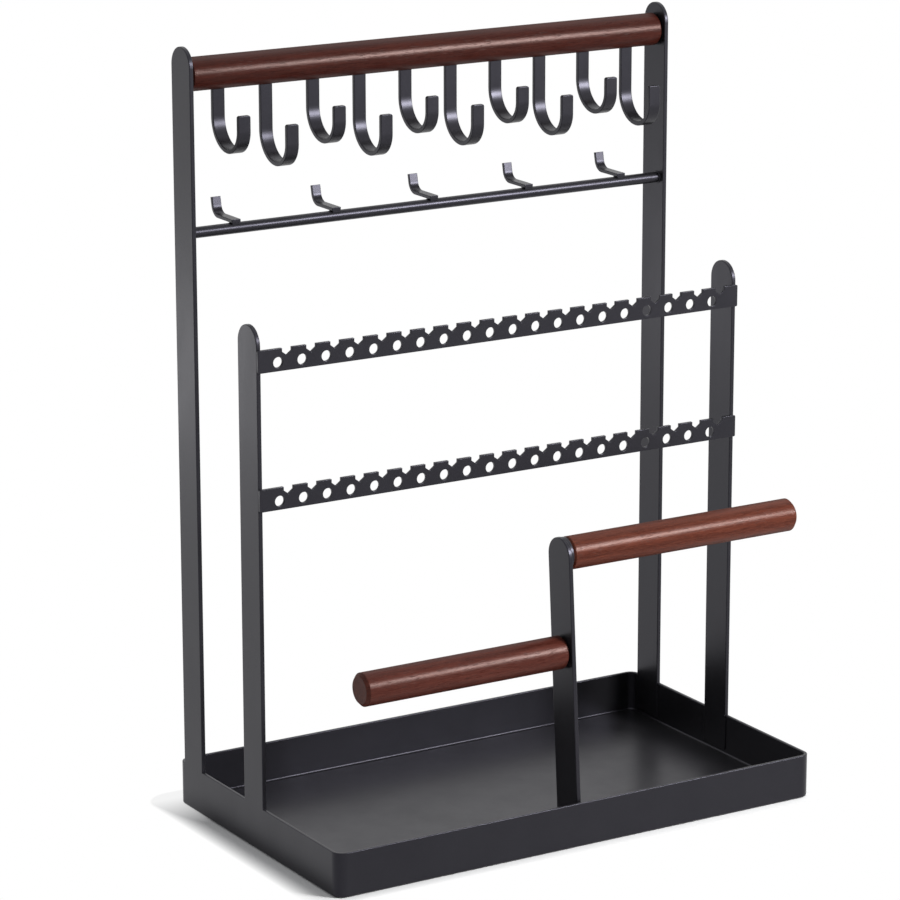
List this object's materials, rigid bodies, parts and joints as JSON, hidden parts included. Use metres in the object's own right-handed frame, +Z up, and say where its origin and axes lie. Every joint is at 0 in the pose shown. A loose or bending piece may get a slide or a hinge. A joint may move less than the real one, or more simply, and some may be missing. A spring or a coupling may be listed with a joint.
{
  "type": "jewelry stand",
  "caption": "Black steel jewelry stand: tray, uprights with necklace hooks under a wooden dowel, rear hooks, perforated earring strips and a post with wooden bracelet dowels.",
  "frame": {"origin": "centre of the tray's underside, where the stand rests", "axes": "+X to the right seen from the front, +Y to the back where the tall uprights are, +Z up"},
  "size_m": [0.25, 0.1461, 0.35],
  "materials": {
    "powder_coated_steel": "satin charcoal-black powder coat with a very fine texture",
    "dark_wood": "dark red-brown stained hardwood with a satin lacquer",
    "bare_steel": "bright zinc-plated steel"
  },
  "bodies": {
    "root": {"tray": "powder_coated_steel", "back_left_upright": "powder_coated_steel", "back_right_upright": "powder_coated_steel", "front_left_upright": "powder_coated_steel", "front_right_upright": "powder_coated_steel", "upper_earring_strip": "powder_coated_steel", "lower_earring_strip": "powder_coated_steel", "bracelet_post": "powder_coated_steel", "upper_bracelet_dowel_collar": "powder_coated_steel", "rear_rod": "powder_coated_steel", "necklace_hook_1": "powder_coated_steel", "necklace_hook_2": "powder_coated_steel", "necklace_hook_3": "powder_coated_steel", "necklace_hook_4": "powder_coated_steel", "necklace_hook_5": "powder_coated_steel", "necklace_hook_6": "powder_coated_steel", "necklace_hook_7": "powder_coated_steel", "necklace_hook_8": "powder_coated_steel", "necklace_hook_9": "powder_coated_steel", "necklace_hook_10": "powder_coated_steel", "rear_hook_1": "powder_coated_steel", "rear_hook_2": "powder_coated_steel", "rear_hook_3": "powder_coated_steel", "rear_hook_4": "powder_coated_steel", "rear_hook_5": "powder_coated_steel", "top_dowel": "dark_wood", "upper_bracelet_dowel": "dark_wood", "lower_bracelet_dowel": "dark_wood", "top_dowel_pin": "bare_steel", "top_dowel_screw": "bare_steel", "upper_bracelet_dowel_stud": "bare_steel", "lower_bracelet_dowel_screw": "bare_steel"}
  },
  "joints": []
}
